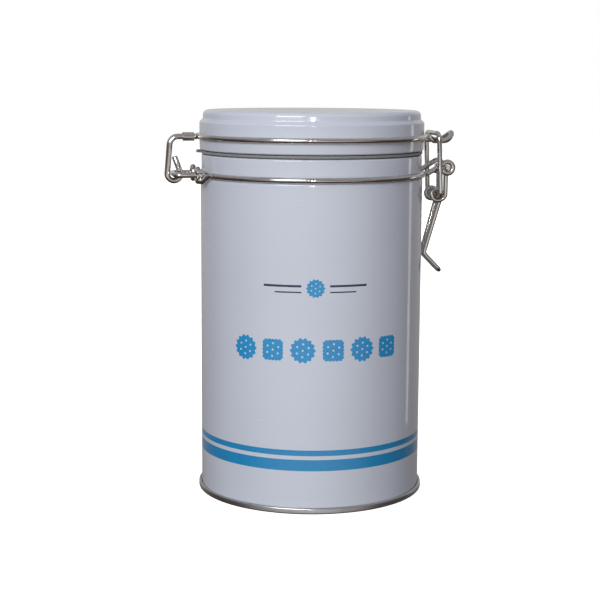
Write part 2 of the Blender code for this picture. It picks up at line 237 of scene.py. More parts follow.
def tinplate_finish(name, colour):
    """Bare tinplate: fine rolling lines along the sheet, a faint grain, and dull patches."""
    finish = Finish(name, 1.0)
    place = finish.place()
    lines = finish.noise(place, 1400, 4, (0.03, 1, 1))
    cloud = finish.noise(place, 90, 3)
    grain = finish.noise(place, 2600, 1)
    darker, darkest = (tuple(share * part for part in colour) for share in (0.72, 0.5))
    tone = finish.mix(finish.spread(cloud, 0, 1), colour, darker)
    tone = finish.mix(finish.spread(lines, 0, 0.25), tone, darkest)
    rough = finish.spread(cloud, 0.24, 0.36)
    rough = finish.math("ADD", rough, finish.spread(grain, -0.03, 0.05))
    surface = finish.bump(lines, 0.012 * MM, 0.35)
    return finish.wire_up(Base_Color=tone, Roughness=rough, Normal=surface)


tin_inside = tinplate_finish("inside_tinplate", (0.60, 0.59, 0.56))

INK_GLOSS = {"Coat_Weight": 0.55, "Coat_Roughness": 0.05, "Specular_IOR_Level": 0.45}
printed = Finish("printed_lacquer", **INK_GLOSS)
place = printed.place()
across, along, height = printed.parts(place)
blush = printed.spread(printed.noise(place, 18, 2), 0, 1)
white = printed.mix(blush, LILAC_WHITE, LILAC_SHADE)
# Two blue bands run round the foot of the print, a broad one with a narrow one over it.
ragged = printed.math("MULTIPLY", printed.noise(place, 2200, 2), 0.06 * MM)
print_height = printed.math("ADD", height, ragged)
broad = printed.band(print_height, *BROAD_BAND, 0.05 * MM)
narrow = printed.band(print_height, *NARROW_BAND, 0.05 * MM)
bands = printed.math("MAXIMUM", broad, narrow)
mottle = printed.spread(printed.noise(place, 700, 3), 0, 1)
ink = printed.mix(mottle, PRINT_BLUE, tuple(0.9 * part for part in PRINT_BLUE))
tone = printed.mix(bands, white, ink)
# The sheet's edges stay unprinted for the weld, so the print stops short of it on each side.
weld_x, weld_y = math.cos(WELD_ANGLE), math.sin(WELD_ANGLE)
beside_weld = printed.math("MULTIPLY", across, weld_y)
offset = printed.math("SUBTRACT", beside_weld, printed.math("MULTIPLY", along, weld_x))
margin = printed.band(offset, -BARE_MARGIN, BARE_MARGIN, 0.12 * MM)
margin = printed.math("MULTIPLY", margin, printed.spread(along, 0, 1, 0, 1 * MM))
tone = printed.mix(margin, tone, (0.62, 0.62, 0.61))
# The lacquer is a little worn where the sheet turns over the curl.
chips = printed.spread(printed.noise(place, 1500, 4), 0, 0.8, 0.52, 0.68)
worn_curl = printed.spread(height, 0, 1, RIM_TOP - 0.5 * MM, RIM_TOP)
worn_curl = printed.math("MULTIPLY", worn_curl, chips)
tone = printed.mix(worn_curl, tone, (0.33, 0.32, 0.31))
gloss, surface = lacquer_surface(printed, place)
bare = printed.math("MAXIMUM", margin, worn_curl)
bare = printed.math("MULTIPLY", bare, 0.6)
printed.wire_up(Base_Color=tone, Metallic=bare, Roughness=gloss, Normal=surface)

rim_curl = 0.9 * MM
groove = side(RING_RADIUS, RING_Z)
line = swing(side(NECK_RADIUS - rim_curl, RIM_TOP - rim_curl), rim_curl, 240, 0)
line += [side(NECK_RADIUS, RING_Z + 2.3 * MM)]
line += swing(groove, RING_WIRE / 2 + GAP, 128, 232)
shoulder = [
    (line[-1], 0),
    (side(BODY_RADIUS - 0.12 * MM, RING_Z - 1.95 * MM), 1.2 * MM),
    (side(BODY_RADIUS, RING_Z - 3.2 * MM), 2 * MM),
    (side(BODY_RADIUS, RING_Z - 5 * MM), 0),
]
line += bent(shoulder)[1:]
line += [side(BODY_RADIUS, level * MM) for level in (110, 80, 50, 20, 6.5, 0.95)]
turned(line)
thicken(BODY_SHEET)
body_wall = finish_mesh(
    "can_body", "tin", "white_lacquer", printed.material, tin_inside)
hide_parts("body_wall")


# ---- Side weld ----
# The sheet's edges overlap by under a millimetre and are welded, which leaves a flat grey bead of
# bare steel from the foot to the shoulder, with fine ripples from the welding wheel.
WELD_WIDTH = 0.9  # mm, as is its rise
WELD_RISE = 0.14

weld = Finish("weld_bead", 1.0)
place = weld.place()
ripples = weld.noise(place, 1500, 2, (0.2, 0.2, 1.6))
weld.wire_up(
    Base_Color=weld.mix(weld.spread(ripples, 0, 1), (0.46, 0.46, 0.46), (0.60, 0.59, 0.58)),
    Roughness=weld.spread(ripples, 0.34, 0.5),
    Normal=weld.bump(ripples, 0.05 * MM, 0.6),
)
foot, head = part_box("base_end")[1].z + GAP, RING_Z - 4 * MM
bpy.ops.mesh.primitive_cube_add(size=MM, enter_editmode=True)
bpy.ops.transform.resize(value=(WELD_RISE, WELD_WIDTH, (head - foot) / MM))
bpy.ops.mesh.bevel(offset=0.06 * MM, segments=3)
for height in range(6, 149, 4):
    cut = height * MM - (foot + head) / 2
    bpy.ops.mesh.select_all(action="SELECT")
    bpy.ops.mesh.bisect(plane_co=(0, 0, cut), plane_no=(0, 0, 1))
bpy.ops.object.mode_set(mode="OBJECT")
reach = BODY_RADIUS + 0.05 * MM
bpy.context.object.location = (weld_x * reach, weld_y * reach, (foot + head) / 2)
bpy.context.object.rotation_euler = (0, 0, WELD_ANGLE)
finish_mesh("side_weld", "tin", "bare_tinplate", weld.material)


# ---- Print ----
# A row of plain biscuits and a small one between rules over it are laid down in ink on the flat
# sheet, so they follow the tube round as a thin raised layer.
PRINT_MIDDLE = math.radians(-97.2)
PRINT_SLICE = 0.8 * MM  # the prints are sliced upright this often, to bend round the wall
INK_LAYER = 0.02 * MM
NAVY = (0.018, 0.024, 0.075)
ROW_Z = 75.75 * MM
ROW_STEP = 13.9  # mm


def ink_finish(name, colour):
    ink = Finish(name, **INK_GLOSS)
    place = ink.place()
    gloss, surface = lacquer_surface(ink, place)
    thin = tuple(1.12 * part + 0.01 for part in colour)
    tone = ink.mix(ink.spread(ink.noise(place, 800, 3), 0, 1), colour, thin)
    return ink.wire_up(Base_Color=tone, Roughness=gloss, Normal=surface)


blue_ink = ink_finish("blue_ink", PRINT_BLUE)
navy_ink = ink_finish("navy_ink", NAVY)


def roll_onto_wall(name, ink, middle):
    """Slices the flat print upright, rolls it round the wall, and thickens it outwards."""
    print_mesh = bpy.context.object.data
    bpy.ops.object.mode_set(mode="EDIT")
    low = min(vertex.co.x for vertex in print_mesh.vertices)
    high = max(vertex.co.x for vertex in print_mesh.vertices)
    for i in range(1, math.ceil((high - low) / PRINT_SLICE)):
        bpy.ops.mesh.select_all(action="SELECT")
        bpy.ops.mesh.bisect(plane_co=(low + i * PRINT_SLICE, 0, 0), plane_no=(1, 0, 0))
    bpy.ops.mesh.select_all(action="SELECT")
    bpy.ops.mesh.remove_doubles(threshold=0.002 * MM)
    bpy.ops.object.mode_set(mode="OBJECT")
    reach = BODY_RADIUS + INK_LAYER
    for vertex in print_mesh.vertices:
        angle = middle + vertex.co.x / reach
        vertex.co = Vector((reach * math.cos(angle), reach * math.sin(angle), vertex.co.y))
    first = print_mesh.polygons[0]
    if first.normal.dot(first.center.xy.to_3d()) < 0:
        print_mesh.flip_normals()
    layer = bpy.context.object.modifiers.new("layer", "SOLIDIFY")
    layer.thickness, layer.offset = INK_LAYER, 1
    bpy.ops.object.modifier_apply(modifier="layer")
    finish_mesh(name, "tin", "white_lacquer", ink)


def round_edge(turn):
    """A scalloped circle, as its distance from the middle for a circle of radius 1."""
    return 0.93 + 0.07 * math.cos(14 * turn)


def square_edge(turn):
    """A scalloped square with round corners, likewise."""
    rounded = (math.cos(turn) ** 6 + math.sin(turn) ** 6) ** (-1 / 6)
    return rounded * (0.82 + 0.03 * math.cos(20 * turn))


def ring_of(radius, turns):
    return [(radius * math.cos(turn), radius * math.sin(turn)) for turn in turns]


def print_biscuits(name, middle, biscuits, hole):
    """Pricked biscuits, each given by its place along and up the print, its size and its edge."""
    bpy.ops.curve.primitive_bezier_circle_add(radius=MM)
    drawing = bpy.context.object.data
    drawing.dimensions, drawing.fill_mode = "2D", "BOTH"
    drawing.splines.clear()
    turns = [2 * math.pi * i / 168 for i in range(168)]
    for x, z, size, edge in biscuits:
        outlines = [[(size * edge(t) * math.cos(t), size * edge(t) * math.sin(t)) for t in turns]]
        for a, b in [(0, 0)] + ring_of(0.5 * size, turns[12::28]):
            outlines.append([(a + c, b + d) for c, d in ring_of(hole, turns[::12])])
        for outline in outlines:
            spline = drawing.splines.new("POLY")
            spline.points.add(len(outline) - 1)
            for point, (a, b) in zip(spline.points, outline):
                point.co = (x + a, z + b, 0, 1)
            spline.use_cyclic_u = True
    bpy.ops.object.convert(target="MESH")
    roll_onto_wall(name, blue_ink, middle)


row = [
    ((ROW_STEP * i - 2.5 * ROW_STEP) * MM, ROW_Z, 5.9 * MM, square_edge if i % 2 else round_edge)
    for i in range(6)
]
print_biscuits("printed_biscuits", PRINT_MIDDLE, row, 0.5 * MM)

ORNAMENT_MIDDLE = math.radians(-98.6)
ORNAMENT_Z = 104 * MM
ornament = [(0, ORNAMENT_Z, 4.3 * MM, round_edge)]
print_biscuits("printed_small_biscuit", ORNAMENT_MIDDLE, ornament, 0.36 * MM)

for name, hand in (("left", -1), ("right", 1)):
    bpy.ops.mesh.primitive_plane_add(size=MM, enter_editmode=True)
    bpy.ops.transform.resize(value=(17.5, 1.0, 1))
    bpy.ops.transform.translate(value=(hand * 15.2 * MM, 1.0 * MM, 0))
    bpy.ops.mesh.duplicate()
    bpy.ops.transform.resize(value=(0.7, 0.6, 1), center_override=(hand * 6.45 * MM, 0, 0))
    bpy.ops.transform.translate(value=(0, -2.4 * MM, 0))
    bpy.ops.mesh.select_all(action="SELECT")
    bpy.ops.transform.translate(value=(0, ORNAMENT_Z, 0))
    bpy.ops.object.mode_set(mode="OBJECT")
    roll_onto_wall("printed_rules_" + name, navy_ink, ORNAMENT_MIDDLE)


# ---- Base end ----
# A disc of unpainted tinplate, pressed with a stepped panel. Its edge is rolled together with the
# foot of the wall into a double seam, which is the bare grey band that the tin stands on.
END_SHEET = 0.35 * MM
SEAM_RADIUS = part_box("base_end")[1].x
SEAM_TOP = 2.9 * MM
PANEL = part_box("base_end")[1].z

seam_steel = Finish("seam_tinplate", 1.0)
place = seam_steel.place()
across, along, height = seam_steel.parts(place)
flat = seam_steel.node("CombineXYZ", {0: across, 1: along}).outputs[0]
reach = seam_steel.node("VectorMath", {0: flat}, operation="LENGTH").outputs["Value"]
rolled = seam_steel.node("CombineXYZ", {0: reach, 2: height}).outputs[0]
marks = seam_steel.noise(rolled, 5200, 3)
cloud = seam_steel.noise(place, 140, 3)
tone = seam_steel.mix(seam_steel.spread(marks, 0, 0.7), (0.66, 0.66, 0.66), (0.42, 0.42, 0.42))
tone = seam_steel.mix(seam_steel.spread(cloud, 0, 0.5), tone, (0.48, 0.475, 0.47))
# Painted shade: the seam is darkened towards its top, most in the crease under the wall, where
# shade falls.
painted_crease_shade = seam_steel.spread(height, 0, 0.3, SEAM_TOP - 0.4 * MM, SEAM_TOP)
tone = seam_steel.mix(painted_crease_shade, tone, (0.20, 0.19, 0.185))
rough = seam_steel.spread(marks, 0.26, 0.36)
seam_steel.wire_up(
    Base_Color=tone,
    Roughness=seam_steel.math("ADD", rough, seam_steel.spread(cloud, -0.03, 0.06)),
    Normal=seam_steel.bump(marks, 0.02 * MM, 0.4),
)
inner = BODY_RADIUS - BODY_SHEET - END_SHEET - GAP
bend = 0.7 * MM
line = swing(side(SEAM_RADIUS - bend, SEAM_TOP - bend), bend, 90, 0)
line += swing(side(SEAM_RADIUS - bend, bend), bend, 0, -90)
line += swing(side(inner + bend, bend), bend, -90, -180)
line += swing(side(inner - bend, PANEL - bend), bend, 0, 90)
step = inner - 4 * MM
drop = 0.6 * MM
panel_step = [
    (line[-1], 0),
    (side(step, PANEL), drop),
    (side(step - drop, PANEL - drop), drop),
    (side(step - 3 * MM, PANEL - drop), 0),
]
line += bent(panel_step)[1:]
line += [side(30 * MM, PANEL - drop), side(0, PANEL - drop)]
turned([side(BODY_RADIUS + GAP, SEAM_TOP - 0.1 * MM)] + line)
thicken(END_SHEET)
base_end = finish_mesh(
    "base_end_panel", "tin", "bare_tinplate", seam_steel.material, tin_inside)
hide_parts("base_end")


# ---- Lid ----
# A cap pressed from lacquered tinplate in one piece: flat top, rounded shoulder, a step down to
# the skirt, a groove for its wire ring, and a curled edge.
LID_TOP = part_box("lid_shell")[1].z
LID_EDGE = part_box("lid_shell")[0].z
LID_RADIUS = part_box("lid_shell")[1].x
LID_RING_RADIUS = LID_RADIUS + 1.0 * MM
LID_RING_Z = LID_EDGE + 6.4 * MM
LID_SHEET = 0.35 * MM
LID_CURL = 0.9 * MM

lid_white = Finish("lid_lacquer", Coat_Weight=0.6, Coat_Roughness=0.05, Specular_IOR_Level=0.45)
place = lid_white.place()
across, along, height = lid_white.parts(place)
blush = lid_white.spread(lid_white.noise(place, 22, 2), 0, 1)
tone = lid_white.mix(blush, LILAC_WHITE, LILAC_SHADE)
chips = lid_white.spread(lid_white.noise(place, 1700, 4), 0, 0.7, 0.56, 0.68)
worn = lid_white.spread(height, 1, 0, LID_EDGE + 0.1 * MM, LID_EDGE + 0.7 * MM)
worn = lid_white.math("MULTIPLY", worn, chips)
tone = lid_white.mix(worn, tone, (0.30, 0.29, 0.28))
gloss, surface = lacquer_surface(lid_white, place)
bare = lid_white.math("MULTIPLY", worn, 0.9)
lid_white.wire_up(Base_Color=tone, Metallic=bare, Roughness=gloss, Normal=surface)

ledge = LID_TOP - 5.6 * MM
crown = LID_RADIUS - 1.8 * MM
line = [side(0, LID_TOP), side(30 * MM, LID_TOP), side(44 * MM, LID_TOP)]
lid_step = [
    (line[-1], 0),
    (side(crown, LID_TOP), 2.2 * MM),
    (side(crown + 0.2 * MM, ledge + 1.55 * MM), 0.9 * MM),
    (side(LID_RADIUS, ledge + 0.15 * MM), 1.2 * MM),
    (side(LID_RADIUS, ledge - 2.5 * MM), 0),
]
line += bent(lid_step)[1:]
line += [side(LID_RADIUS, LID_RING_Z + 2.3 * MM)]
line += swing(side(LID_RING_RADIUS, LID_RING_Z), RING_WIRE / 2 + GAP, 130, 230)
line += [side(LID_RADIUS, LID_RING_Z - 2.2 * MM)]
curl = side(LID_RADIUS - 0.15 * MM - LID_CURL, LID_EDGE + LID_CURL)
line += swing(curl, LID_CURL, 0, -230)
turned(line)
thicken(LID_SHEET)
lid_shell = finish_mesh("lid_cap", "lid", "white_lacquer", lid_white.material, tin_inside)
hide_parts("lid_shell")


# ---- Lid liner ----
# A shallow dish of bare tinplate that closes the lid from below. Its rim is trapped in the lid's
# curl and its wall is what the seal is stretched over.
LINER_RADIUS = NECK_RADIUS - 3 * MM
LINER_SHEET = 0.4 * MM
dish = LID_EDGE - 4.1 * MM
raised = dish + 0.8 * MM
line = bent([
    (side(curl.x - LID_CURL - GAP, LID_EDGE), 0),
    (side(LINER_RADIUS, LID_EDGE), 0.15 * MM),
    (side(LINER_RADIUS, dish), 0.6 * MM),
    (side(LINER_RADIUS - 4 * MM, dish), 0.7 * MM),
    (side(LINER_RADIUS - 5 * MM, raised), 0.7 * MM),
    (side(LINER_RADIUS - 8 * MM, raised), 0),
])
turned(line + [side(25 * MM, raised), side(0, raised)])
thicken(LINER_SHEET)
lid_liner = finish_mesh("liner_dish", "lid", "bare_tinplate", tin_inside, tin_inside)
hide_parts("lid_liner")


# ---- Seal ----
# A flat ring of grey silicone, pressed between the lid and the curled mouth of the tin, with a
# small tab by the hinge to pull it off for washing.
SEAL_TAB = math.radians(168)
TAB_REACH = 2.5 * MM
seal_low, seal_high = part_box("lid_seal")[0].z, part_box("lid_seal")[1].z

silicone = Finish("grey_silicone", IOR=1.41, Subsurface_Weight=0.25, Subsurface_Scale=0.8 * MM)
place = silicone.place()
dust = silicone.noise(place, 1300, 3)
tone = silicone.mix(silicone.spread(dust, 0, 1), (0.25, 0.26, 0.265), (0.32, 0.33, 0.33))
silicone.wire_up(
    Base_Color=tone,
    Roughness=silicone.spread(dust, 0.38, 0.55),
    Normal=silicone.bump(silicone.noise(place, 2500, 2), 0.02 * MM, 0.4),
)
near, far = LINER_RADIUS + 0.4 * MM, NECK_RADIUS + 0.2 * MM
line = []
corners = ((far, seal_high), (far, seal_low), (near, seal_low), (near, seal_high))
for (reach, height), start in zip(corners, (90, 0, -90, -180)):
    inward = Vector((-1 if reach == far else 1, 0, -1 if height == seal_high else 1))
    middle = side(reach, height) + inward * 0.25 * MM
    line += swing(middle, 0.25 * MM, start, start - 90, step=22.5)
turned(line, closed=True)
for vertex in bpy.context.object.data.vertices:
    swung = math.atan2(vertex.co.y, vertex.co.x) - SEAL_TAB
    swung = (swung + math.pi) % (2 * math.pi) - math.pi
    share = max(0.0, 1 - (math.degrees(swung) / 4) ** 2) ** 0.5
    if vertex.co.xy.length > (near + far) / 2:
        vertex.co.xy *= 1 + TAB_REACH * share / far
lid_seal = finish_mesh("silicone_seal", "lid", "grey_silicone", silicone.material)
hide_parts("lid_seal")


# ---- Hinge yoke ----
# A closed loop of nickel-plated spring wire. Its inner bar lies in the body's groove behind the
# tin, and its outer bar is the pin that the lid's hooks turn on.
YOKE_HALF_WIDTH = 10 * MM
LATCH_WIRE = 2.3 * MM

nickel = Finish("nickel_plate", 1.0)
along_wire = nickel.place("UV")
place = nickel.place()
drawn = nickel.noise(along_wire, 60, 3, (0.15, 1.5, 1))
cloud = nickel.noise(place, 160, 3)
specks = nickel.spread(nickel.noise(place, 1900, 3), 0, 0.5, 0.62, 0.74)
tone = nickel.mix(nickel.spread(cloud, 0, 1), (0.72, 0.685, 0.645), (0.62, 0.585, 0.545))
tone = nickel.mix(specks, tone, (0.34, 0.29, 0.25))
rough = nickel.math("ADD", nickel.spread(cloud, 0.07, 0.13), nickel.spread(drawn, 0.0, 0.07))
nickel.wire_up(
    Base_Color=tone,
    Roughness=nickel.math("ADD", rough, nickel.math("MULTIPLY", specks, 0.2)),
    Normal=nickel.bump(drawn, 0.02 * MM, 0.3, nickel.bump(cloud, 0.05 * MM, 0.5)),
)


def bent_wire(name, body, node, route, diameter, closed=False):
    """Draws a wire along its route, with its cut ends a little rounded, and makes it a mesh."""
    bpy.ops.curve.primitive_nurbs_path_add()
    curve = bpy.context.object.data
    curve.splines.clear()
    curve.bevel_depth = diameter / 2
    curve.bevel_resolution = 6
    curve.use_fill_caps = not closed
    if not closed:
        first, last = (route[0] - route[1]).normalized(), (route[-1] - route[-2]).normalized()
        first, last = route[0] - first * 0.25 * MM, route[-1] - last * 0.25 * MM
        route = [route[0], first, *route[1:-1], last, route[-1]]
    spline = curve.splines.new("POLY")
    spline.points.add(len(route) - 1)
    for point, place in zip(spline.points, route):
        point.co = (*place, 1)
    spline.use_cyclic_u = closed
    if not closed:
        spline.points[0].radius = spline.points[-1].radius = 0.82
    bpy.ops.object.convert(target="MESH")
    piece = finish_mesh(name, body, "nickel_wire", nickel.material, sharp=50)
    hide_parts(node)


def mirrored(points):
    return [Vector((point.x, -point.y, point.z)) for point in reversed(points)]


def round_tin(radius, z, start, end, step=3):
    """Points round the tin at one height, angles in degrees."""
    count = math.ceil(abs(end - start) / step)
    angles = [math.radians(start + (end - start) * i / count) for i in range(count + 1)]
    return [Vector((radius * math.cos(angle), radius * math.sin(angle), z)) for angle in angles]


legs = math.sqrt(RING_RADIUS**2 - (YOKE_HALF_WIDTH - 2 * MM) ** 2)
bar_end = 180 - math.degrees(math.asin(7.5 * MM / RING_RADIUS))
bar = round_tin(RING_RADIUS, RING_Z, bar_end, 180, 1)
half = list(reversed(bar[1:])) + bent([
    (bar[0], 0),
    (Vector((-legs, YOKE_HALF_WIDTH, RING_Z)), 1.6 * MM),
    (Vector((HINGE_PIN.x, YOKE_HALF_WIDTH, RING_Z)), 2.5 * MM),
    (HINGE_PIN, 0),
])
whole = half[:-1] + mirrored(half)[:-1]
bent_wire("yoke_wire", "tin", "hinge_yoke", whole, RING_WIRE, closed=True)


# ---- Body rings ----
# Two half rings of the same wire lie in the groove. Each one is wound round a leg of the yoke and
# ends beside the latch in an open eye, and each eye carries one of the latch lever's pins.
COIL_Y = 3.6 * MM
LEVER_Y = COIL_Y + LATCH_WIRE + GAP
EYE_Y = LEVER_Y + LATCH_WIRE / 2 + GAP + RING_WIRE / 2
EYE_RADIUS = LATCH_WIRE / 2 + GAP + RING_WIRE / 2
LOOP_START, LOOP_TURN = 20, 250  # degrees
LOOP_SPREAD = 3.6 * MM  # how far past the loop the ring is back in its groove


def ring_bend(ring_radius, leg_y, bend_radius, hand):
    """The bend from a ring into a leg along X: its points, and the ring's angle where it starts."""
    across = leg_y + bend_radius
    along = math.sqrt((ring_radius + bend_radius) ** 2 - across**2)
    off = math.degrees(math.atan2(across, along))
    angles = [math.radians(180 + off + (90 - off) * i / 10) for i in range(11)]
    bend = [(bend_radius * math.cos(a), bend_radius * math.sin(a)) for a in angles]
    points = [(hand * (along + x), across + y) for x, y in bend]
    return points, off if hand > 0 else 180 - off


def tangent(centre, radius, point, arriving):
    """The angle at which a clockwise turn is met by a straight run from a point, or left for it."""
    away = point - centre
    swung = math.degrees(math.acos(radius / away.xz.length))
    heading = math.degrees(math.atan2(away.z, away.x))
    return heading - swung if arriving else heading + swung


loop_x = -RING_RADIUS - RING_WIRE
loop = RING_WIRE + GAP
half = []
for i in range(33):
    angle = math.radians(LOOP_START + LOOP_TURN * i / 32)
    y, z = YOKE_HALF_WIDTH + loop * math.cos(angle), RING_Z + loop * math.sin(angle)
    half.append(Vector((loop_x, y, z)))
low = half[-1]
leave = 180 - math.degrees(math.asin((YOKE_HALF_WIDTH + loop + LOOP_SPREAD) / RING_RADIUS))
for i in range(1, 14):
    share = i / 14
    climb = max(0.0, (share - 0.35) / 0.65)
    climb = loop * climb * climb * (3 - 2 * climb)
    reach = low.xy.length + (RING_RADIUS - low.xy.length) * share
    turn = math.atan2(low.y, low.x) * (1 - share) + math.radians(leave) * share
    half.append(Vector((reach * math.cos(turn), reach * math.sin(turn), low.z + climb)))
out, arrive = ring_bend(RING_RADIUS, EYE_Y, 3 * MM, 1)
half += round_tin(RING_RADIUS, RING_Z, leave, arrive)[:-1]
half += [Vector((x, y, RING_Z)) for x, y in out]
met = tangent(PIVOT, EYE_RADIUS, half[-1], arriving=True)
half += swing(PIVOT, EYE_RADIUS, met % 360, -150, (EYE_Y, EYE_Y))
bent_wire("half_ring_rear", "tin", "body_ring_rear", half, RING_WIRE)
bent_wire("half_ring_front", "tin", "body_ring_front", mirrored(half), RING_WIRE)


# ---- Lid ring ----
# One wire holds the lid. It starts as a hook round the hinge pin, rises in an arm, runs round the
# lid's groove, out and back in a narrow tongue for the latch, and round to a second hook beside
# the first.
HOOK_Y = RING_WIRE / 2 + 0.15 * MM
HOOK_RADIUS = RING_WIRE + 0.6 * MM
TONGUE_Y = 6.2 * MM
TONGUE_TIP = LID_RING_RADIUS + 14.3 * MM
TONGUE_DIP = 2.05 * MM
TONGUE_LIFT = 3.5 * MM
HOOK_START = 20  # degrees, as is the arm's lean
ARM_LEAN = 4.9
STUB = 7.6 * MM
LINK_BAR = Vector((LID_RING_RADIUS + 5.2 * MM, 0, LID_RING_Z + 1.5 * MM))

hook = swing(HINGE_PIN, HOOK_RADIUS, HOOK_START, -180 - ARM_LEAN, (HOOK_Y, HOOK_Y))
opening = math.radians(HOOK_START)
stub = hook[0] + STUB * Vector((-math.sin(opening), 0, math.cos(opening)))
back, leave = ring_bend(LID_RING_RADIUS, HOOK_Y, 1.8 * MM, -1)
rise = LID_RING_Z - hook[-1].z
elbow = hook[-1] + Vector((rise * math.tan(math.radians(ARM_LEAN)), 0, rise))
join = Vector((back[-1][0], HOOK_Y, LID_RING_Z))
half = [stub, *hook] + bent([(hook[-1], 0), (elbow, 4 * MM), (join, 0)])[1:-1]
half += [Vector((x, y, LID_RING_Z)) for x, y in reversed(back)]
out, arrive = ring_bend(LID_RING_RADIUS, TONGUE_Y, 2.2 * MM, 1)
half += round_tin(LID_RING_RADIUS, LID_RING_Z, leave, arrive)[1:-1]
nose = TONGUE_TIP - TONGUE_Y
plan = out + [(out[-1][0] + (nose - out[-1][0]) * i / 16, TONGUE_Y) for i in range(1, 17)]
plan += [(spot.x, spot.z) for spot in swing(Vector((nose, 0, 0)), TONGUE_Y, 90, 0, step=7.5)[1:]]
for x, y in plan:
    dip = min(1.0, max(0.0, (x - LID_RING_RADIUS - 1 * MM) / (3.4 * MM)))
    lift = (x - LINK_BAR.x - 3.8 * MM) / (TONGUE_TIP - LINK_BAR.x - 3.8 * MM)
    lift = max(0.0, lift)
    z = LID_RING_Z - TONGUE_DIP * dip * dip * (3 - 2 * dip) + TONGUE_LIFT * lift**2.2
    half.append(Vector((x, y, z)))
bent_wire("lid_ring_wire", "lid", "lid_ring", half[:-1] + mirrored(half), RING_WIRE)


# ---- Ferrule ----
# A short sleeve of plated steel, pressed round the two wires where they meet behind the lid, so
# that the ring can't spread. The press leaves a shallow waist in it between the wires.
low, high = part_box("ring_ferrule")
bpy.ops.mesh.primitive_circle_add(
    vertices=48, radius=(high.z - low.z) / 2, rotation=(0, math.pi / 2, 0))
bpy.ops.object.transform_apply(rotation=True)
straight = (high.y - low.y - (high.z - low.z)) / 2
for vertex in bpy.context.object.data.vertices:
    vertex.co.y += math.copysign(straight, vertex.co.y) if abs(vertex.co.y) > 1e-6 else 0
    vertex.co.x = low.x
bpy.ops.object.mode_set(mode="EDIT")
bpy.ops.mesh.select_all(action="SELECT")
for _ in range(9):
    stride = ((high.x - low.x) / 9, 0, 0)
    bpy.ops.mesh.extrude_region_move(TRANSFORM_OT_translate={"value": stride})
bpy.ops.mesh.select_all(action="SELECT")
bpy.ops.mesh.normals_make_consistent(inside=False)
bpy.ops.object.mode_set(mode="OBJECT")
sleeve = bpy.context.object
for vertex in sleeve.data.vertices:
    beside = max(0.0, 1 - abs(vertex.co.y) / (1.2 * MM))
    middle = max(0.0, 1 - (2 * (vertex.co.x - low.x) / (high.x - low.x) - 1) ** 4)
    waist = math.copysign(0.22 * MM * beside * middle, vertex.co.z)
    vertex.co.z += (low.z + high.z) / 2 - waist
wall = sleeve.modifiers.new("wall", "SOLIDIFY")
wall.thickness, wall.offset = 0.36 * MM, -1
edge = sleeve.modifiers.new("edge", "BEVEL")
edge.width, edge.segments = 0.15 * MM, 3
edge.limit_method, edge.angle_limit = "ANGLE", math.radians(50)
bpy.ops.object.modifier_apply(modifier="wall")
bpy.ops.object.modifier_apply(modifier="edge")
ferrule = finish_mesh("ring_sleeve", "lid", "nickel_wire", nickel.material)
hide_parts("ring_ferrule")


# ---- Latch lever ----
# One wire of a thinner gauge: a pin in each eye, a leg down to a coil on each side for the link,
# then the two sides run close together as the handle and turn out at the foot as the finger tab.
TAB_Y = 2.2 * MM
COIL_RADIUS = LATCH_WIRE + GAP
LEAD_IN = 130  # degrees of the coil, over which the leg winds down onto it
KNEE = Vector((BODY_RADIUS + 2.55 * MM, 0, LINK_PIN.z - 28.6 * MM))
TIP = KNEE + Vector((8.3 * MM, 0, -8.6 * MM))

left = tangent(LINK_PIN, COIL_RADIUS, KNEE, arriving=False) - 360
coil = []
for i in range(49):
    wound = left * i / 48
    reach = COIL_RADIUS
    reach += (PIVOT.x - LINK_PIN.x - COIL_RADIUS) * max(0.0, 1 + wound / LEAD_IN) ** 2
    angle, y = math.radians(wound), LEVER_Y + (COIL_Y - LEVER_Y) * i / 48
    x, z = LINK_PIN.x + reach * math.cos(angle), LINK_PIN.z + reach * math.sin(angle)
    coil.append(Vector((x, y, z)))
beside = Vector((0, 1, 0))
pin_end = PIVOT + beside * (EYE_Y + RING_WIRE / 2)
half = bent([(pin_end, 0), (PIVOT + beside * LEVER_Y, 1.5 * MM), (coil[0], 0)])[:-1]
half += coil
along = (TIP - KNEE).normalized()
nose = TIP - along * TAB_Y
half += bent([(coil[-1], 0), (KNEE + beside * TAB_Y, 2.5 * MM), (nose + beside * TAB_Y, 0)])[1:]
for i in range(1, 13):
    turn = math.pi / 2 * i / 12
    half.append(nose + along * TAB_Y * math.sin(turn) + beside * TAB_Y * math.cos(turn))
bent_wire("lever_wire", "lever", "latch_lever", half[:-1] + mirrored(half), LATCH_WIRE)


# ---- Latch link ----
# The same thin wire, bent to a tall loop. Its ends turn in as pins through the lever's coils, and
# its bar lies over the tongue, so that swinging the lever down draws the lid tight.
LINK_Y = EYE_Y + RING_WIRE / 2 + GAP + LATCH_WIRE / 2
half = bent([
    (LINK_PIN + beside * (COIL_Y - 0.6 * MM), 0),
    (LINK_PIN + beside * LINK_Y, 1.6 * MM),
    (LINK_BAR + beside * LINK_Y, 3.6 * MM),
    (LINK_BAR, 0),
])
bent_wire("link_wire", "link", "latch_link", half[:-1] + mirrored(half), LATCH_WIRE)


# ---- Camera, floor and light ----
VIEW_TURN = math.radians(-11)
aim = Matrix.Rotation(VIEW_TURN + math.radians(0.425), 4, "Z")
aim = aim @ Matrix.Rotation(math.radians(90 - 8.77), 4, "X")
aim = aim @ Matrix.Rotation(math.radians(0.306), 4, "Z")
stand = Matrix.Rotation(VIEW_TURN, 4, "Z") @ Vector((0, -696.16 * MM, 198.11 * MM))
bpy.ops.object.camera_add(location=stand, rotation=aim.to_euler())
camera = bpy.context.object
camera.data.lens = 87.48
camera.data.clip_start = 0.01
bpy.context.scene.camera = camera

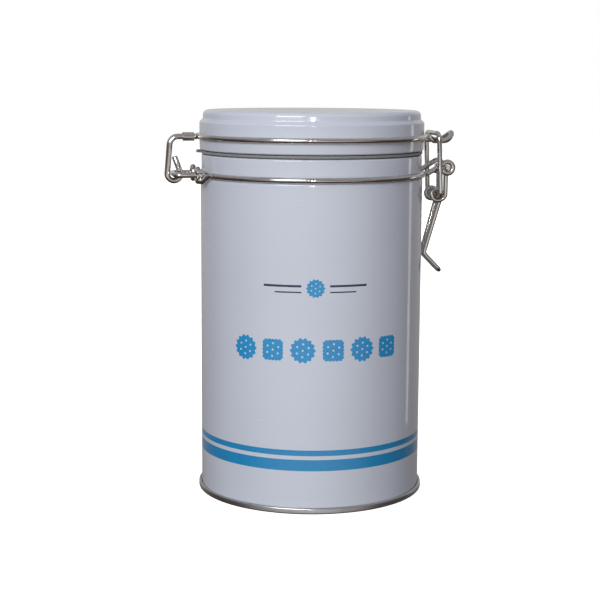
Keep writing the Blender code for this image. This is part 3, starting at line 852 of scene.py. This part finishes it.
paper = Finish("floor_paper", Roughness=0.9, Specular_IOR_Level=0.1)
fibre = paper.spread(paper.noise(paper.place(), 60, 4), 0, 1)
paper.wire_up(Base_Color=paper.mix(fibre, (0.94, 0.94, 0.94), (0.92, 0.92, 0.92)))
paper.shader.inputs["Emission Color"].default_value = (1, 1, 1, 1)
paper.shader.inputs["Emission Strength"].default_value = 0.8
bpy.ops.mesh.primitive_plane_add(size=6)
floor = bpy.context.object
floor.name = "floor"
floor.data.materials.append(paper.material)
floor.visible_diffuse = floor.visible_glossy = False

world = bpy.data.worlds.new("studio")
bpy.context.scene.world = world
world.use_nodes = True
sky = world.node_tree
background = sky.nodes["Background"]
direction = sky.nodes.new("ShaderNodeTexCoord").outputs["Generated"]
parts = sky.nodes.new("ShaderNodeSeparateXYZ")
sky.links.new(direction, parts.inputs[0])


def sky_spread(value, low, high):
    """The value, which lies from low to high, moved to lie from 0 to 1."""
    spread = sky.nodes.new("ShaderNodeMapRange")
    sky.links.new(value, spread.inputs[0])
    spread.inputs[1].default_value, spread.inputs[2].default_value = low, high
    return spread.outputs[0]


def sky_ramp(tones):
    """Colours by height, each at its sine of elevation."""
    ramp = sky.nodes.new("ShaderNodeValToRGB")
    sky.links.new(sky_spread(parts.outputs[2], -1, 1), ramp.inputs[0])
    while len(ramp.color_ramp.elements) < len(tones):
        ramp.color_ramp.elements.new(0.5)
    for element, (where, colour) in zip(ramp.color_ramp.elements, tones):
        element.position = (where + 1) / 2
        element.color = (*colour, 1)
    return ramp.outputs[0]


def sky_mix(amount, a, b):
    mixed = sky.nodes.new("ShaderNodeMix")
    mixed.data_type = "RGBA"
    for socket, value in zip((0, 6, 7), (amount, a, b)):
        if isinstance(value, bpy.types.NodeSocket):
            sky.links.new(value, mixed.inputs[socket])
        else:
            mixed.inputs[socket].default_value = (*value, 1)
    return mixed.outputs[2]


# A pale table and wall behind the camera, which lie ahead of the tin's front, a dim warm room to
# the sides, and a pale backdrop behind the tin.
facing = sky.nodes.new("ShaderNodeVectorMath")
facing.operation = "DOT_PRODUCT"
sky.links.new(direction, facing.inputs[0])
facing.inputs[1].default_value = (-math.sin(VIEW_TURN), math.cos(VIEW_TURN), 0)
TABLE_SHADE = (0.03, 0.022, 0.018)
ahead = sky_ramp([
    (-1, TABLE_SHADE), (-0.5, (0.24, 0.21, 0.20)), (-0.3, (0.80, 0.80, 0.80)),
    (-0.07, (0.88, 0.87, 0.87)), (0.04, (0.14, 0.13, 0.13)), (0.35, (0.30, 0.30, 0.33)),
    (1, (0.38, 0.38, 0.42)),
])
sides = sky_ramp([
    (-1, TABLE_SHADE), (-0.4, (0.07, 0.05, 0.04)), (-0.1, (0.11, 0.09, 0.08)),
    (0.08, (0.09, 0.078, 0.074)), (0.35, (0.34, 0.34, 0.38)), (1, (0.40, 0.40, 0.44)),
])
behind = sky_ramp([
    (-1, TABLE_SHADE), (-0.4, (0.10, 0.08, 0.07)), (-0.1, (0.42, 0.40, 0.39)),
    (0.05, (0.52, 0.51, 0.50)), (0.25, (0.58, 0.57, 0.57)), (0.5, (0.32, 0.32, 0.34)),
    (1, (0.38, 0.38, 0.42)),
])
room = sky_mix(sky_spread(facing.outputs["Value"], -0.97, -0.3), ahead, sides)
room = sky_mix(sky_spread(facing.outputs["Value"], 0.45, 0.85), room, behind)
path = sky.nodes.new("ShaderNodeLightPath")
sky.links.new(sky_mix(path.outputs["Is Camera Ray"], room, (1, 1, 1)), background.inputs[0])
bpy.context.scene.view_settings.view_transform = "Standard"


def softbox(name, azimuth, elevation, distance, size, power, colour=(1, 1, 1)):
    """A rectangular lamp aimed at the tin, with its azimuth to the right of the camera's."""
    turn, lift = math.radians(azimuth) + VIEW_TURN, math.radians(elevation)
    level = math.cos(lift)
    away = Vector((math.sin(turn) * level, -math.cos(turn) * level, math.sin(lift)))
    spot = Vector((0, 0, 0.09)) + away * distance
    aimed = away.to_track_quat("Z", "Y").to_euler()
    bpy.ops.object.light_add(type="AREA", location=spot, rotation=aimed)
    lamp = bpy.context.object
    lamp.name = name
    lamp.data.shape = "RECTANGLE"
    lamp.data.size, lamp.data.size_y = size
    lamp.data.energy = power
    lamp.data.color = colour
    lamp.visible_camera = False
    return lamp


softbox("key", -23, 26, 1.4, (0.65, 0.65), 9.5, (0.97, 0.98, 1.0))
softbox("flash", 1, 14, 0.75, (0.03, 0.02), 0.3)
softbox("back", 180, 35, 1.8, (1.2, 0.9), 14).visible_glossy = False
softbox("strip_right", 121, -4, 1.2, (0.10, 0.5), 0.25)
